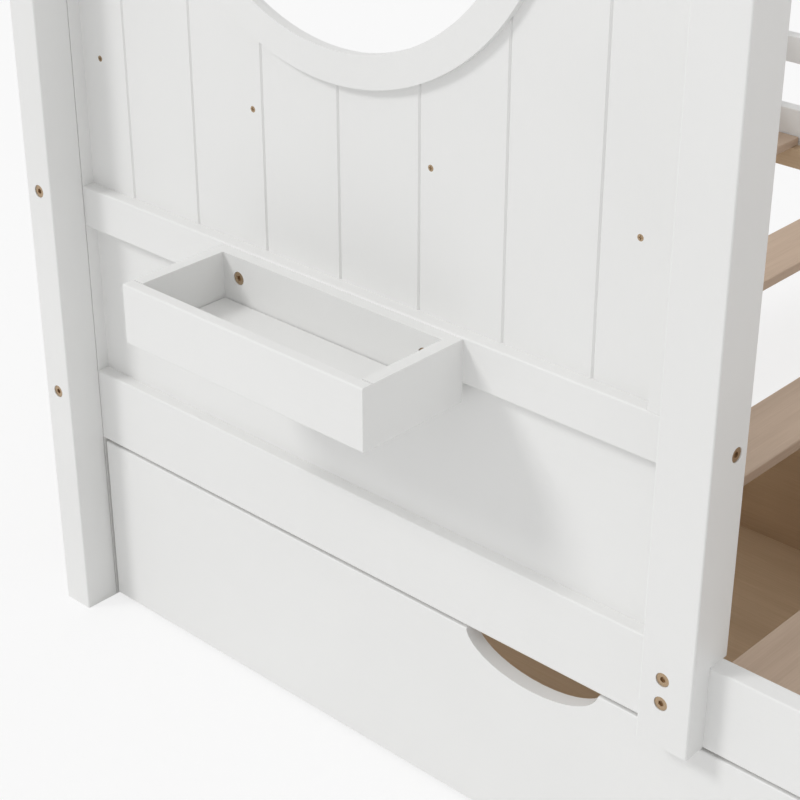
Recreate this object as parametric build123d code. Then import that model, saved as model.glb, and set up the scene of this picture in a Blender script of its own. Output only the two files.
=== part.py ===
# House bed for one full-size mattress: a painted timber house frame over a slatted
# base, with a boarded wall that holds a round window and a flower box, an open entrance
# beside it, and one long drawer on casters below.
# X runs along the bed, Y across it with the boarded wall at the front (-Y), Z is up.
# The origin is on the floor at the middle of the whole, flower box included.
# All sizes are in millimetres.
from build123d import *
import math
import os

# Overall sizes
LENGTH = 2000.0            # outside the corner posts, along X
INNER_WIDTH = 1393.0       # between the two side rails, along Y
EAVE_TOP = 1620.0          # top of the posts and eave beams
RIDGE_TOP = 1990.0         # highest point of the roof

# Frame timber
BOARD_T = 23.0             # thickness of every rail, bar, stile and batten
POST_X = 44.0              # corner post, along the bed
POST_Y = 47.0              # corner post, in front of its stile
MID_POST_X = 60.0
MID_POST_PROUD = 28.0      # mid post in front of the rails
MID_POST_BEHIND = 6.0      # mid post behind the rails
WALL_BAY = 850.0           # corner post to mid post
SIDE_RAIL_Z = 236.0        # underside of the side rails
SIDE_RAIL_H = 95.0
MID_RAIL_Z = 524.0         # underside of the rail under the window wall
MID_RAIL_H = 51.0
BAR_Z = (409.0, 532.0)     # undersides of the guard bars
BAR_H = 45.0
EAVE_H = 50.0
RAFTER_DEPTH = 60.0
RIDGE_H = 70.0
RIDGE_DROP = 10.0          # ridge beam top below the point of the roof
EDGE_RADIUS = 2.0          # rounded long edges of the painted timber

# Window wall
PANEL_T = 7.0
WALL_STILE_X = 32.0        # stile beside the mid post
WINDOW_Z = 1072.0
WINDOW_R = 245.0           # inside of the ring
HOLE_BACK = 2.0            # panel's hole outside the ring's inner edge
RING_WIDTH = 35.0
RING_T = 8.0
GROOVE_PITCH = 111.0
GROOVE_COUNT = 7
GROOVE_DEPTH = 2.0
LOWER_JOINT = 1            # the lower panel's joint is this many grooves right of centre
BATTEN_H = 50.0
PANEL_SCREW_RISE = 158.0   # lower row above the mid rail
PANEL_SCREW_DROP = 159.0   # upper row below the eave beam
PANEL_SCREW_EDGE = 31.0    # end screws in from the sides of the wall
PANEL_SCREW_COUNT = 4      # in each row

# Flower box
BOX_L = 349.0
BOX_D = 144.0
BOX_H = 70.0
BOX_BOARD = 15.0
BOX_SHIFT = 10.5           # box's middle to the right of the window's
BOX_BELOW_RAIL_TOP = 2.0
BOX_FLOOR_T = 6.0
BOX_FLOOR_UP = 10.0        # underside of the box floor above the box's lower edge
BOX_FLOOR_GAP = 1.5        # open seam at the left and back edges of the box floor
BOX_BOLT_X = 136.0         # each bolt from the box's middle
BOX_BOLT_UP = 24.0         # above the mid rail's underside

# Slats
SLAT_COUNT = 7
SLAT_W = 90.0
SLAT_T = 15.0
SLAT_PITCH = 285.0
SLAT_FROM_POST = 76.0      # left corner post to the first slat's middle
SLAT_TOP = 285.0
SLAT_END_GAP = 2.0
LEDGER_T = 20.0

# Drawer
DRAWER_END_GAP = 5.0       # beside the drawer front
DRAWER_TOP_GAP = 4.0
DRAWER_FLOOR_GAP = 4.0
DRAWER_FRONT_T = 18.0
DRAWER_DEPTH = 662.0       # front and box together
DRAWER_BOARD = 16.0
DRAWER_SIDE_Z = 28.0
DRAWER_SIDE_TOP = 200.0
DRAWER_INSET = 20.0        # box side in from the end of the front
DRAWER_BOTTOM_T = 6.0
DRAWER_BOTTOM_UP = 6.0     # underside of the bottom above the lower edge of the sides
DIVIDER_X = 104.0          # middle of each divider from the drawer's middle
GRIP_X = 262.0             # middle of each grip from the drawer's middle
GRIP_HALF = 89.0
GRIP_DEPTH = 41.5          # below the side rail's underside

# Casters
WHEEL_R = 15.0
WHEEL_W = 14.0
WHEEL_EDGE = 1.5
AXLE_R = 3.0
AXLE_CLEAR = 0.05
CHEEK_T = 2.0
CHEEK_GAP = 0.5
PLATE_T = 2.0
PLATE_L = 44.0
PLATE_LIP = 8.0            # plate beyond the outside of each cheek
AXLE_END = 1.0             # axle beyond the outside of each cheek
CASTER_INSET = 80.0        # wheel's middle from the inside of the drawer's walls

# Bolts and screws
BOLT_HEAD_R = 7.5
BOLT_HEAD_T = 4.0
BOLT_R = 3.0
BOLT_SINK = 1.0            # head below the painted face
BOLT_CLEAR = 0.3
SOCKET_R = 3.4
SOCKET_DEPTH = 2.5
BITE = 17.0                # how far a bolt or screw enters the last piece
END_BITE = 25.0            # the same, into the end of a rail
SCREW_HEAD_R = 3.5
SCREW_HEAD_T = 2.0
SCREW_R = 1.8
CROSS_R = 2.2
CROSS_T = 1.0
POST_BOLT_Z = (312.0, 576.0)
MID_BOLT_Z = (287.0, 315.0)
MID_BOLT_X = 26.0          # from the wall side of the mid post
MID_RAIL_BOLT_Z = 559.0

# Places worked out from the sizes above. Y is counted from the mattress's middle here.
X_END = LENGTH / 2
X_IN = X_END - POST_X                          # inner face of the corner posts
Y_IN = INNER_WIDTH / 2                         # inner face of the side rails
Y_RAIL = Y_IN + BOARD_T                        # outer face of the side rails
Y_POST = Y_RAIL + POST_Y                       # outer face of the corner posts
Y_SHIFT = (BOX_D - POST_Y) / 2                 # mattress's middle behind the origin
Y_PANEL = Y_IN + PANEL_T                       # front face of the wall panels
SIDE_RAIL_TOP = SIDE_RAIL_Z + SIDE_RAIL_H
MID_RAIL_TOP = MID_RAIL_Z + MID_RAIL_H
EAVE_Z = EAVE_TOP - EAVE_H
WALL_X0 = -X_IN
WALL_X1 = WALL_X0 + WALL_BAY                   # wall side of the mid post
PANEL_X1 = WALL_X1 - WALL_STILE_X
WINDOW_X = (WALL_X0 + PANEL_X1) / 2
RING_R = WINDOW_R + RING_WIDTH
BOX_X = WINDOW_X + BOX_SHIFT
PANEL_SCREW_Z = (MID_RAIL_TOP + PANEL_SCREW_RISE, EAVE_Z - PANEL_SCREW_DROP)
PANEL_SCREW_PITCH = (PANEL_X1 - WALL_X0 - 2 * PANEL_SCREW_EDGE) / (PANEL_SCREW_COUNT - 1)
DRAWER_X = X_IN - DRAWER_END_GAP               # end of the drawer front
DRAWER_BOX_X = DRAWER_X - DRAWER_INSET         # outside of the drawer's sides
DRAWER_BOX_IN = DRAWER_BOX_X - DRAWER_BOARD    # inside of them
DRAWER_Y0 = -Y_RAIL                            # drawer front, flush with the side rail
DRAWER_Y1 = DRAWER_Y0 + DRAWER_FRONT_T
DRAWER_Y2 = DRAWER_Y0 + DRAWER_DEPTH
DRAWER_BACK_IN = DRAWER_Y2 - DRAWER_BOARD
DRAWER_BOTTOM_Z = DRAWER_SIDE_Z + DRAWER_BOTTOM_UP

os.makedirs("parts", exist_ok=True)
pieces = {}


def block(x0, x1, y0, y1, z0, z1):
    """A rectangular solid between two corners."""
    size = (abs(x1 - x0), abs(y1 - y0), abs(z1 - z0))
    centre = ((x0 + x1) / 2, (y0 + y1) / 2, (z0 + z1) / 2)
    return Pos(*centre) * Box(*size)


def timber(x0, x1, y0, y1, z0, z1, along):
    """A board with its four long edges rounded."""
    solid = block(x0, x1, y0, y1, z0, z1)
    return fillet(solid.edges().filter_by(along), EDGE_RADIUS)


def rod(start, direction, radius, length):
    """A cylinder that starts at a point and runs along a direction."""
    base = Plane(origin=start, z_dir=direction)
    return base * Cylinder(radius, length, align=(Align.CENTER, Align.CENTER, Align.MIN))


def group(solids):
    """Separate solids kept together in one node."""
    return Compound([solid for shape in solids for solid in shape.solids()])


def corner(name, sx, sy):
    """A corner post and the stile behind it, at the sides sx and sy of the bed."""
    pieces[f"corner_post_{name}"] = timber(
        sx * X_IN, sx * X_END, sy * Y_RAIL, sy * Y_POST, 0, EAVE_TOP, Axis.Z)
    pieces[f"corner_stile_{name}"] = block(
        sx * X_IN, sx * X_END, sy * Y_IN, sy * Y_RAIL, 0, EAVE_TOP)


def rafter(sx, sy):
    """One rafter: seated level on its post and stile, and cut upright at the ridge."""
    slope = math.atan2(RIDGE_TOP - EAVE_TOP, Y_POST)
    toe = Y_POST - RAFTER_DEPTH / math.sin(slope)
    under = RIDGE_TOP - RAFTER_DEPTH / math.cos(slope)
    outline = Polyline((Y_POST, EAVE_TOP), (0, RIDGE_TOP), (0, under), (toe, EAVE_TOP), close=True)
    solid = extrude(Plane.YZ * make_face(outline), POST_X)
    if sy < 0:
        solid = mirror(solid, about=Plane.XZ)
    return Pos(X_IN if sx > 0 else -X_END, 0, 0) * solid


def make_frame():
    """Posts, rails, guard bars and roof."""
    for sx, end in ((-1, "left"), (1, "right")):
        x0, x1 = sx * X_IN, sx * (X_IN + BOARD_T)
        for sy, face in ((-1, "front"), (1, "back")):
            corner(f"{face}_{end}", sx, sy)
            pieces[f"rafter_{face}_{end}"] = rafter(sx, sy)
        pieces[f"end_rail_{end}"] = timber(x0, x1, -Y_IN, Y_IN, SIDE_RAIL_Z, SIDE_RAIL_TOP, Axis.Y)
        pieces[f"guard_bars_{end}"] = group(
            timber(x0, x1, -Y_IN, Y_IN, z, z + BAR_H, Axis.Y) for z in BAR_Z)
    for sy, face in ((-1, "front"), (1, "back")):
        pieces[f"side_rail_{face}"] = timber(
            -X_IN, X_IN, sy * Y_IN, sy * Y_RAIL, SIDE_RAIL_Z, SIDE_RAIL_TOP, Axis.X)
        pieces[f"eave_beam_{face}"] = timber(
            -X_IN, X_IN, sy * Y_IN, sy * Y_RAIL, EAVE_Z, EAVE_TOP, Axis.X)
    pieces["guard_bars_back"] = group(
        timber(-X_IN, X_IN, Y_IN, Y_RAIL, z, z + BAR_H, Axis.X) for z in BAR_Z)
    ridge_top = RIDGE_TOP - RIDGE_DROP
    pieces["ridge_beam"] = timber(
        -X_IN, X_IN, -BOARD_T / 2, BOARD_T / 2, ridge_top - RIDGE_H, ridge_top, Axis.X)
    post_back = -Y_IN + MID_POST_BEHIND
    post = timber(WALL_X1, WALL_X1 + MID_POST_X, -Y_RAIL - MID_POST_PROUD, post_back,
                  SIDE_RAIL_Z, EAVE_TOP, Axis.Z)
    for z0, z1 in ((SIDE_RAIL_Z, SIDE_RAIL_TOP), (EAVE_Z, EAVE_TOP)):
        post -= block(WALL_X1 - 1, WALL_X1 + MID_POST_X + 1, -Y_RAIL, post_back + 1, z0, z1)
    pieces["mid_post_front"] = post


def make_base():
    """Slats, and the ledgers that carry them inside the side rails."""
    slat_under = SLAT_TOP - SLAT_T
    pieces["slat_ledgers"] = group(
        block(-X_IN, X_IN, sy * Y_IN, sy * (Y_IN - LEDGER_T), SIDE_RAIL_Z, slat_under)
        for sy in (-1, 1))
    slats = []
    for i in range(SLAT_COUNT):
        x = -X_IN + SLAT_FROM_POST + i * SLAT_PITCH
        y = Y_IN - SLAT_END_GAP
        slats.append(timber(x - SLAT_W / 2, x + SLAT_W / 2, -y, y, slat_under, SLAT_TOP, Axis.Y))
    pieces["slats"] = group(slats)


def groove(x):
    """A V groove down the front of the upper wall."""
    outline = Polyline((x - GROOVE_DEPTH, -Y_PANEL), (x + GROOVE_DEPTH, -Y_PANEL),
                       (x, -Y_PANEL + GROOVE_DEPTH), close=True)
    return Pos(0, 0, MID_RAIL_TOP) * extrude(make_face(outline), EAVE_Z - MID_RAIL_TOP)


def make_wall():
    """The window wall's rail, stile, battens and panels."""
    pieces["wall_mid_rail"] = timber(
        WALL_X0, WALL_X1, -Y_RAIL, -Y_IN, MID_RAIL_Z, MID_RAIL_TOP, Axis.X)
    pieces["wall_stile"] = block(PANEL_X1, WALL_X1, -Y_RAIL, -Y_IN, MID_RAIL_TOP, EAVE_Z)
    for place, z in zip(("lower", "upper"), PANEL_SCREW_Z):
        pieces[f"wall_batten_{place}"] = timber(
            WALL_X0, WALL_X1, -Y_IN, -Y_IN + BOARD_T, z - BATTEN_H / 2, z + BATTEN_H / 2, Axis.X)
    hole = rod((WINDOW_X, -Y_RAIL, WINDOW_Z), (0, 1, 0), WINDOW_R + HOLE_BACK, 2 * BOARD_T)
    for side, x0, x1 in (("left", WALL_X0, WINDOW_X), ("right", WINDOW_X, PANEL_X1)):
        panel = block(x0, x1, -Y_PANEL, -Y_IN, MID_RAIL_TOP, EAVE_Z) - hole
        for i in range(GROOVE_COUNT):
            x = WINDOW_X + (i - (GROOVE_COUNT - 1) / 2) * GROOVE_PITCH
            if x0 <= x <= x1:
                panel -= groove(x)
        pieces[f"wall_panel_{side}"] = panel
    joint = WINDOW_X + LOWER_JOINT * GROOVE_PITCH
    for side, x0, x1 in (("left", WALL_X0, joint), ("right", joint, WALL_X1)):
        pieces[f"wall_panel_lower_{side}"] = block(
            x0, x1, -Y_PANEL, -Y_IN, SIDE_RAIL_TOP, MID_RAIL_Z)


def make_window_ring():
    """The two halves of the window's trim, on the face of the wall."""
    centre = (WINDOW_X, -Y_PANEL, WINDOW_Z)
    ring = rod(centre, (0, -1, 0), RING_R, RING_T) - rod(centre, (0, -1, 0), WINDOW_R, RING_T)
    for side, sx in (("left", -1), ("right", 1)):
        pieces[f"window_ring_{side}"] = ring & block(
            WINDOW_X, WINDOW_X + sx * 2 * RING_R, -Y_RAIL, -Y_IN,
            WINDOW_Z - 2 * RING_R, WINDOW_Z + 2 * RING_R)


def make_flower_box():
    """The flower box, against the face of the wall's mid rail."""
    top = MID_RAIL_TOP - BOX_BELOW_RAIL_TOP
    z0 = top - BOX_H
    x0, x1 = BOX_X - BOX_L / 2, BOX_X + BOX_L / 2
    y0, y1 = -Y_RAIL - BOX_D, -Y_RAIL
    t = BOX_BOARD
    pieces["box_front"] = timber(x0, x1, y0, y0 + t, z0, top, Axis.X)
    pieces["box_left"] = block(x0, x0 + t, y0 + t, y1, z0, top)
    pieces["box_right"] = block(x1 - t, x1, y0 + t, y1, z0, top)
    pieces["box_back"] = block(x0 + t, x1 - t, y1 - t, y1, z0, top)
    floor_z = z0 + BOX_FLOOR_UP
    pieces["box_floor"] = block(x0 + t + BOX_FLOOR_GAP, x1 - t, y0 + t, y1 - t - BOX_FLOOR_GAP,
                                floor_z, floor_z + BOX_FLOOR_T)


def make_drawer():
    """The drawer's boards."""
    t = DRAWER_BOARD
    front = timber(-DRAWER_X, DRAWER_X, DRAWER_Y0, DRAWER_Y1, DRAWER_FLOOR_GAP,
                   SIDE_RAIL_Z - DRAWER_TOP_GAP, Axis.X)
    for sx, side in ((-1, "left"), (1, "right")):
        face = Plane(origin=(sx * GRIP_X, DRAWER_Y1 + 1, SIDE_RAIL_Z), x_dir=(1, 0, 0),
                     z_dir=(0, -1, 0))
        front -= extrude(face * Ellipse(GRIP_HALF, GRIP_DEPTH), DRAWER_FRONT_T + 2)
        pieces[f"drawer_{side}_side"] = block(
            sx * DRAWER_BOX_IN, sx * DRAWER_BOX_X, DRAWER_Y1, DRAWER_Y2,
            DRAWER_SIDE_Z, DRAWER_SIDE_TOP)
    pieces["drawer_front"] = front
    pieces["drawer_back"] = block(-DRAWER_BOX_IN, DRAWER_BOX_IN, DRAWER_BACK_IN, DRAWER_Y2,
                                  DRAWER_SIDE_Z, DRAWER_SIDE_TOP)
    bottom_top = DRAWER_BOTTOM_Z + DRAWER_BOTTOM_T
    pieces["drawer_bottom"] = block(-DRAWER_BOX_IN, DRAWER_BOX_IN, DRAWER_Y1, DRAWER_BACK_IN,
                                    DRAWER_BOTTOM_Z, bottom_top)
    pieces["drawer_dividers"] = group(
        block(x - t / 2, x + t / 2, DRAWER_Y1, DRAWER_BACK_IN, bottom_top, DRAWER_SIDE_TOP)
        for x in (-DIVIDER_X, DIVIDER_X))


def wheel(x, y):
    """A caster wheel with rounded edges and a running bore."""
    solid = rod((x - WHEEL_W / 2, y, WHEEL_R), (1, 0, 0), WHEEL_R, WHEEL_W)
    solid = fillet(solid.edges().filter_by(GeomType.CIRCLE), WHEEL_EDGE)
    return solid - rod((x - WHEEL_W, y, WHEEL_R), (1, 0, 0), AXLE_R + AXLE_CLEAR, 2 * WHEEL_W)


def bracket(x, y):
    """A caster's plate under the drawer bottom, and the two cheeks that hold its axle."""
    cheek_in = WHEEL_W / 2 + CHEEK_GAP
    cheek_out = cheek_in + CHEEK_T
    half = cheek_out + PLATE_LIP
    plate_z = DRAWER_BOTTOM_Z - PLATE_T
    solid = block(x - half, x + half, y - PLATE_L / 2, y + PLATE_L / 2, plate_z, DRAWER_BOTTOM_Z)
    for side in (-1, 1):
        solid += block(x + side * cheek_in, x + side * cheek_out, y - 2 * AXLE_R, y + 2 * AXLE_R,
                       WHEEL_R - 2 * AXLE_R, plate_z)
    return solid


def make_casters():
    """Four fixed casters under the drawer: bracket, axle and wheel."""
    reach = DRAWER_BOX_IN - CASTER_INSET
    axle_half = WHEEL_W / 2 + CHEEK_GAP + CHEEK_T + AXLE_END
    brackets = []
    axles = []
    for row, y in (("front", DRAWER_Y1 + CASTER_INSET), ("back", DRAWER_BACK_IN - CASTER_INSET)):
        for x, end in ((-reach, "left"), (reach, "right")):
            axle = rod((x - axle_half, y, WHEEL_R), (1, 0, 0), AXLE_R, 2 * axle_half)
            axles.append(axle)
            brackets.append(bracket(x, y) - axle)
            pieces[f"wheel_{row}_{end}"] = wheel(x, y)
    pieces["caster_brackets"] = group(brackets)
    pieces["caster_axles"] = group(axles)


def cut(nodes, tool):
    """Take a hole out of every piece that a fastener passes."""
    for node in nodes:
        pieces[node] = pieces[node] - tool


def bolt(face, direction, length, nodes):
    """A socket bolt with its head just below a face, and its hole in the named pieces."""
    way = Vector(*direction)
    start = Vector(*face) + way * BOLT_SINK
    before = Vector(*face) - way
    hole = rod(before, direction, BOLT_HEAD_R + BOLT_CLEAR, 1 + BOLT_SINK + BOLT_HEAD_T)
    cut(nodes, hole + rod(before, direction, BOLT_R, 1 + length))
    solid = rod(start, direction, BOLT_HEAD_R, BOLT_HEAD_T)
    solid += rod(start, direction, BOLT_R, length - BOLT_SINK)
    socket = Plane(origin=start, z_dir=direction) * RegularPolygon(SOCKET_R, 6)
    return solid - extrude(socket, SOCKET_DEPTH)


def screw(x, y, z, length, nodes):
    """A cross-head screw driven along +Y, flush with the face at y, and its hole."""
    solid = rod((x, y, z), (0, 1, 0), SCREW_HEAD_R, SCREW_HEAD_T)
    solid += rod((x, y, z), (0, 1, 0), SCREW_R, length)
    cut(nodes, solid)
    for half_x, half_z in ((CROSS_R, CROSS_T / 2), (CROSS_T / 2, CROSS_R)):
        solid -= block(x - half_x, x + half_x, y - 1, y + 1, z - half_z, z + half_z)
    return solid


def make_bolts():
    """Bolts of the corner posts, the mid post and the flower box."""
    bolts = []
    for sx, end in ((-1, "left"), (1, "right")):
        for sy, side in ((-1, "front"), (1, "back")):
            nodes = (f"corner_post_{side}_{end}", f"corner_stile_{side}_{end}")
            for z in POST_BOLT_Z:
                face = (sx * (X_IN + POST_X / 2), sy * Y_POST, z)
                bolts.append(bolt(face, (0, -sy, 0), POST_Y + BITE, nodes))
    for z in MID_BOLT_Z:
        face = (WALL_X1 + MID_BOLT_X, -Y_RAIL - MID_POST_PROUD, z)
        nodes = ("mid_post_front", "side_rail_front")
        bolts.append(bolt(face, (0, 1, 0), MID_POST_PROUD + BITE, nodes))
    face = (WALL_X1 + MID_POST_X, -Y_IN - BOARD_T / 2, MID_RAIL_BOLT_Z)
    nodes = ("mid_post_front", "wall_mid_rail")
    bolts.append(bolt(face, (-1, 0, 0), MID_POST_X + END_BITE, nodes))
    pieces["frame_bolts"] = group(bolts)
    box_bolts = []
    for side in (-1, 1):
        face = (BOX_X + side * BOX_BOLT_X, -Y_RAIL - BOX_BOARD, MID_RAIL_Z + BOX_BOLT_UP)
        nodes = ("box_back", "wall_mid_rail")
        box_bolts.append(bolt(face, (0, 1, 0), BOX_BOARD + BITE, nodes))
    pieces["box_bolts"] = group(box_bolts)


def make_screws():
    """Screws of the wall panels."""
    screws = []
    for place, z in zip(("lower", "upper"), PANEL_SCREW_Z):
        for i in range(PANEL_SCREW_COUNT):
            x = WINDOW_X + (i - (PANEL_SCREW_COUNT - 1) / 2) * PANEL_SCREW_PITCH
            panel = "wall_panel_left" if x < WINDOW_X else "wall_panel_right"
            nodes = (panel, f"wall_batten_{place}")
            screws.append(screw(x, -Y_PANEL, z, PANEL_T + BITE, nodes))
    pieces["panel_screws"] = group(screws)


make_frame()
make_base()
make_wall()
make_window_ring()
make_flower_box()
make_drawer()
make_casters()
make_bolts()
make_screws()
for node, shape in pieces.items():
    export_step(Pos(0, Y_SHIFT, 0) * shape, f"parts/{node}.step")
print(len(pieces), "nodes")
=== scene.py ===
# %% [markdown]
# This lesson dresses a house bed: a timber frame under a roof, with a boarded window
# wall, a flower box and a drawer on casters. Every board already has its shape, so the
# work here is in the finishes, the light and the camera.

# %% Load the bed
import math
import bpy
import numpy as np
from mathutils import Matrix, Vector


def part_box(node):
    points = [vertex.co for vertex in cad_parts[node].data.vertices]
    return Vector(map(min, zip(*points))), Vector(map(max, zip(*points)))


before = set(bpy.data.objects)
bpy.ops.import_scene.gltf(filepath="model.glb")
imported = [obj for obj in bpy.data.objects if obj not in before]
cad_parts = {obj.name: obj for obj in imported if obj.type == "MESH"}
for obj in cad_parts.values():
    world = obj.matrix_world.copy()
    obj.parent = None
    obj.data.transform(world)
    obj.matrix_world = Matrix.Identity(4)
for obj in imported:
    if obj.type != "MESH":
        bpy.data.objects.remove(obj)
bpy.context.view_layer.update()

# %% [markdown]
# A finish is a small web of shader nodes. Written as Python it reads like the sum that
# it is: the class below wraps one output of a node, and + - * on it add Math nodes.


# %% A socket that can be reckoned with
SOFT_DETAIL, FINE_DETAIL, FIBRE_DETAIL = 2.0, 3.0, 4.0     # octaves of noise


class Value:
    """One output of a shader node. An operator on it adds the Math node that it names."""

    def __init__(self, finish, socket):
        self.finish = finish
        self.socket = socket

    def math(self, operation, first, second):
        return self.finish.node("ShaderNodeMath", {"operation": operation}, {0: first, 1: second})

    def __add__(self, other):
        return self.math("ADD", self, other)

    def __mul__(self, other):
        return self.math("MULTIPLY", self, other)

    def __rsub__(self, other):
        return self.math("SUBTRACT", other, self)


class Finish:
    """A material under construction, with one Principled shader to feed."""

    def __init__(self, name):
        self.material = bpy.data.materials.new(name)
        self.material.use_nodes = True
        self.tree = self.material.node_tree
        self.shader = self.tree.nodes["Principled BSDF"]

    def node(self, kind, settings, inputs, output=0):
        """Adds a node: its settings first, then the value or the link of each input."""
        made = self.tree.nodes.new(kind)
        for key, value in settings.items():
            setattr(made, key, value)
        for key, value in inputs.items():
            self.feed(made.inputs[key], value)
        return Value(self, made.outputs[output])

    def feed(self, socket, value):
        """Links a Value to a socket, or sets the plain number or colour on it."""
        if isinstance(value, Value):
            self.tree.links.new(value.socket, socket)
        else:
            socket.default_value = value

    def set(self, **inputs):
        """Feeds the Principled shader; an underscore in a name stands for a space."""
        for key, value in inputs.items():
            self.feed(self.shader.inputs[key.replace("_", " ")], value)

    def noise(self, stretch, detail=FINE_DETAIL):
        """Noise from 0 to 1 on the object's own coordinates, times stretch along X, Y, Z."""
        place = self.node("ShaderNodeTexCoord", {}, {}, "Object")
        scaled = self.node("ShaderNodeVectorMath", {"operation": "MULTIPLY"},
                           {0: place, 1: stretch})
        return self.node("ShaderNodeTexNoise", {}, {"Vector": scaled, "Scale": 1.0,
                                                    "Detail": detail})

    def blend(self, share, dark, light):
        """A colour between dark and light, by share."""
        return self.node("ShaderNodeMix", {"data_type": "RGBA"}, {0: share, 6: dark, 7: light}, 2)

    def bump(self, height, strength, depth):
        """A bumped normal from a height of 0 to 1, that deep in metres."""
        return self.node("ShaderNodeBump", {}, {"Height": height, "Strength": strength,
                                                "Distance": depth})


# %% [markdown]
# The frame is sprayed satin white over planed pine. The coat is nearly even, but the
# grain still lifts it a little along each board, so the noise is drawn out along the
# board's length and feeds the bump and the gloss more than the colour.


# %% White paint, with the grain along one axis
GRAIN_ACROSS, GRAIN_ALONG = 260.0, 9.0     # noise frequencies, per metre
CLOUD = 4.0                                # the same for slow changes in the white
PAINT_DARK, PAINT_LIGHT = (0.80, 0.80, 0.79, 1), (0.86, 0.86, 0.85, 1)
PAINT_GLOSS, PAINT_GLOSS_SPREAD = 0.38, 0.16
PAINT_BUMP, PAINT_DEPTH = 0.25, 0.0005     # strength, then depth in metres


def along(axis, across, length):
    """Noise frequencies that are high across a board and low along its axis."""
    return tuple(length if letter == axis else across for letter in "xyz")


def paint(axis):
    finish = Finish(f"white_paint_{axis}")
    grain = finish.noise(along(axis, GRAIN_ACROSS, GRAIN_ALONG))
    cloud = finish.noise((CLOUD, CLOUD, CLOUD), SOFT_DETAIL)
    finish.set(Base_Color=finish.blend(cloud, PAINT_DARK, PAINT_LIGHT),
               Roughness=grain * PAINT_GLOSS_SPREAD + PAINT_GLOSS,
               Normal=finish.bump(grain, PAINT_BUMP, PAINT_DEPTH))
    return finish.material


# %% [markdown]
# The slats are bare and the drawer is bare plywood. Bare wood shows broad bands of
# colour with fine fibres in them, both along the board.


# %% Bare wood
BAND_ALONG = 1.6                           # noise frequencies, per metre
FIBRE_ACROSS, FIBRE_ALONG = 520.0, 14.0
BAND_SHARE, FIBRE_SHARE = 0.65, 0.45       # of the step from dark to light
WOOD_ROUGH, WOOD_ROUGH_DROP = 0.78, 0.2
WOOD_BUMP, WOOD_DEPTH = 0.35, 0.0004       # strength, then depth in metres
SLAT_BAND, PLY_BAND = 38.0, 26.0           # frequencies of the bands across a board


def wood(name, axis, dark, light, band):
    finish = Finish(name)
    bands = finish.noise(along(axis, band, BAND_ALONG), SOFT_DETAIL)
    fibres = finish.noise(along(axis, FIBRE_ACROSS, FIBRE_ALONG), FIBRE_DETAIL)
    share = bands * BAND_SHARE + fibres * FIBRE_SHARE
    finish.set(Base_Color=finish.blend(share, dark, light),
               Roughness=WOOD_ROUGH - fibres * WOOD_ROUGH_DROP,
               Normal=finish.bump(fibres, WOOD_BUMP, WOOD_DEPTH))
    return finish.material


# %% [markdown]
# Bolts and screws are bronzed steel, the brackets zinc, and the wheels hard plastic.
# Fine noise on the roughness keeps them from looking like one flat colour.


# %% Fixings and wheels
MOTTLE = 900.0                             # noise frequency, per metre
MOTTLE_ROUGH = 0.18
MOTTLE_BUMP, MOTTLE_DEPTH = 0.15, 0.0001   # strength, then depth in metres


def hard(name, dark, light, roughness, metallic):
    finish = Finish(name)
    mottle = finish.noise((MOTTLE, MOTTLE, MOTTLE))
    finish.set(Base_Color=finish.blend(mottle, dark, light),
               Roughness=mottle * MOTTLE_ROUGH + roughness,
               Normal=finish.bump(mottle, MOTTLE_BUMP, MOTTLE_DEPTH),
               Metallic=metallic)
    return finish.material


paints = {axis: paint(axis) for axis in "xyz"}
slat_wood = wood("slat_wood", "y", (0.42, 0.30, 0.215, 1), (0.66, 0.51, 0.39, 1), SLAT_BAND)
ply_x = wood("plywood_x", "x", (0.40, 0.27, 0.16, 1), (0.66, 0.49, 0.32, 1), PLY_BAND)
ply_y = wood("plywood_y", "y", (0.44, 0.31, 0.19, 1), (0.70, 0.53, 0.36, 1), PLY_BAND)
bronze = hard("bronze", (0.36, 0.25, 0.15, 1), (0.56, 0.42, 0.28, 1), 0.3, 0.9)
zinc = hard("zinc", (0.42, 0.42, 0.43, 1), (0.58, 0.58, 0.59, 1), 0.34, 1.0)
rubber = hard("wheel_plastic", (0.02, 0.02, 0.022, 1), (0.05, 0.05, 0.053, 1), 0.5, 0.0)

# %% [markdown]
# Each board takes the paint whose grain runs along its longest side, read from its box.


# %% Dress the boards
NAMED = {"slats": slat_wood, "slat_ledgers": ply_x, "frame_bolts": bronze, "panel_screws": bronze,
         "box_bolts": bronze, "caster_brackets": zinc, "caster_axles": zinc,
         "drawer_left_side": ply_y, "drawer_right_side": ply_y, "drawer_dividers": ply_y,
         "drawer_back": ply_x, "drawer_bottom": ply_x}


def finish_for(name):
    """The named finish of a node, or the paint along its longest side."""
    if name.startswith("wheel"):
        return rubber
    if name in NAMED:
        return NAMED[name]
    low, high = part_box(name)
    longest = "xyz"[int(np.argmax(np.array(high) - np.array(low)))]
    return paints[longest]


for name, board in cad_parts.items():
    material = finish_for(name)
    if board.material_slots:
        for place in board.material_slots:
            place.material = material
    else:
        board.data.materials.append(material)
print(len(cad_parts), "boards and fittings dressed")

# %% [markdown]
# The floor runs up behind the bed in one curve, so no line shows where they meet. It is
# white to the camera and to mirrors, and keeps a share of its shading for the shadow.

# %% Floor and backdrop
FLOOR_HALF, FLOOR_BACK, BEND_R, WALL_TOP = 30.0, 24.0, 6.0, 16.0
BEND_POINTS = 24


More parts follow.
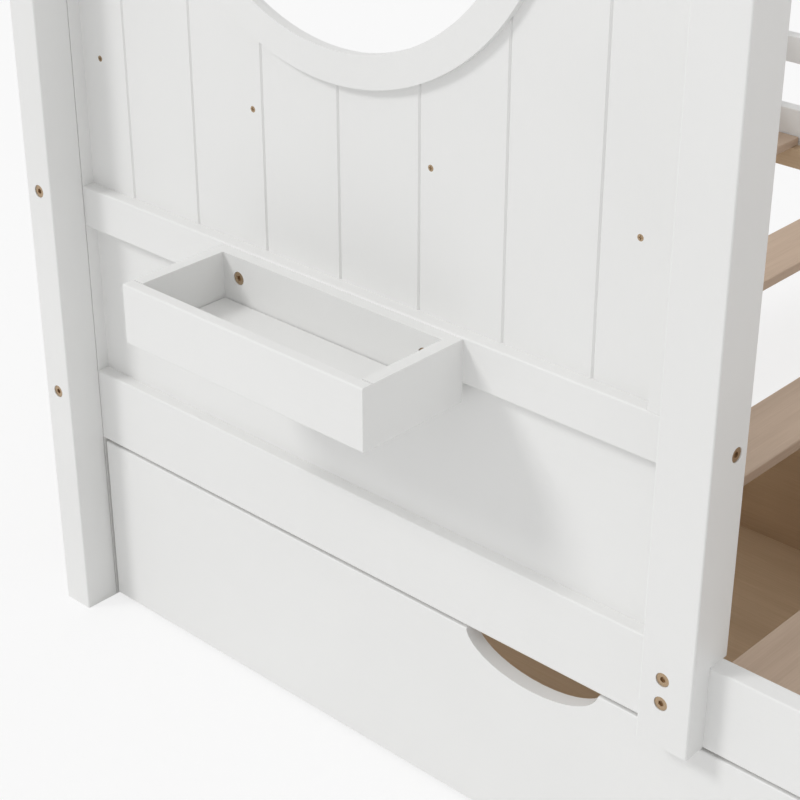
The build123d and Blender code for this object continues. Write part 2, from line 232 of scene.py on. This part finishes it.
def backdrop():
    """One strip across X: flat, then a quarter circle of BEND_R, then upright."""
    angle = np.linspace(0.0, math.pi / 2, BEND_POINTS)
    y = np.concatenate(([-FLOOR_HALF], FLOOR_BACK + BEND_R * np.sin(angle), [FLOOR_BACK + BEND_R]))
    z = np.concatenate(([0.0], BEND_R * (1 - np.cos(angle)), [WALL_TOP]))
    rows = [np.stack([np.full_like(y, x), y, z], axis=1) for x in (-FLOOR_HALF, FLOOR_HALF)]
    points = np.concatenate(rows)
    count = len(y)
    left = np.arange(count - 1)
    faces = np.stack([left, left + count, left + count + 1, left + 1], axis=1)
    mesh = bpy.data.meshes.new("backdrop")
    mesh.from_pydata(points.tolist(), [], faces.tolist())
    made = bpy.data.objects.new("backdrop", mesh)
    bpy.context.scene.collection.objects.link(made)
    return made


FLOOR_WHITE = 0.72         # share of the floor that is plain white to the camera
FLOOR_GREY, FLOOR_ROUGH = (0.9, 0.9, 0.9, 1), 0.9
WHITE = (1, 1, 1, 1)
sweep = Finish("backdrop_white")
sweep.set(Base_Color=FLOOR_GREY, Roughness=FLOOR_ROUGH)
camera_ray = sweep.node("ShaderNodeLightPath", {}, {}, "Is Camera Ray")
glossy_ray = sweep.node("ShaderNodeLightPath", {}, {}, "Is Glossy Ray")
glow = sweep.node("ShaderNodeEmission", {}, {"Color": WHITE, "Strength": 1.0})
mixed = sweep.node("ShaderNodeMixShader", {}, {0: (camera_ray + glossy_ray) * FLOOR_WHITE})
mixer = mixed.socket.node
sweep.tree.links.new(sweep.shader.outputs[0], mixer.inputs[1])
sweep.tree.links.new(glow.socket, mixer.inputs[2])
sweep.tree.links.new(mixed.socket, sweep.tree.nodes["Material Output"].inputs["Surface"])
floor = backdrop()
floor.data.materials.append(sweep.material)

# %% [markdown]
# The light is even and soft: a pale sky all round, and one lamp from the front and
# the left that leaves the gentle shadow beside the flower box.

# %% Light
SKY = 0.70
SUN_STRENGTH, SUN_SOFTNESS = 1.0, math.radians(14)
SUN_FROM_ABOVE, SUN_FROM_LEFT = math.radians(50), math.radians(38)
world = bpy.data.worlds.new("studio")
world.use_nodes = True
world.node_tree.nodes["Background"].inputs["Color"].default_value = WHITE
world.node_tree.nodes["Background"].inputs["Strength"].default_value = SKY
bpy.context.scene.world = world
sun = bpy.data.lights.new("soft_sun", "SUN")
sun.energy = SUN_STRENGTH
sun.angle = SUN_SOFTNESS
lamp = bpy.data.objects.new("soft_sun", sun)
lamp.rotation_euler = (SUN_FROM_ABOVE, 0, -SUN_FROM_LEFT)
bpy.context.scene.collection.objects.link(lamp)

# %% [markdown]
# The camera stands where the lines of the boards meet it, and looks down at the low part
# of the bed. A level camera with a shifted lens would keep the posts parallel, but so
# large a shift throws the bed out of every other view. It is tilted instead, which leans
# the posts a little, and the lens is divided by the cosine of the tilt so that the middle
# keeps its scale.

# %% Camera
LEVEL_LENS = 74.9          # focal length in millimetres of a level camera
SENSOR_WIDTH = 36.0
LOOK_DOWN = math.radians(28.1)
TURN = math.radians(42.8)
STAND = (0.730, -1.942, 1.399)             # metres, in the bed's own frame
lens = bpy.data.cameras.new("camera")
lens.lens = LEVEL_LENS / math.cos(LOOK_DOWN)
lens.sensor_width = SENSOR_WIDTH
camera = bpy.data.objects.new("camera", lens)
camera.location = STAND
camera.rotation_euler = (math.radians(90) - LOOK_DOWN, 0, TURN)
bpy.context.scene.collection.objects.link(camera)
bpy.context.scene.camera = camera
bpy.context.scene.view_settings.view_transform = "Standard"
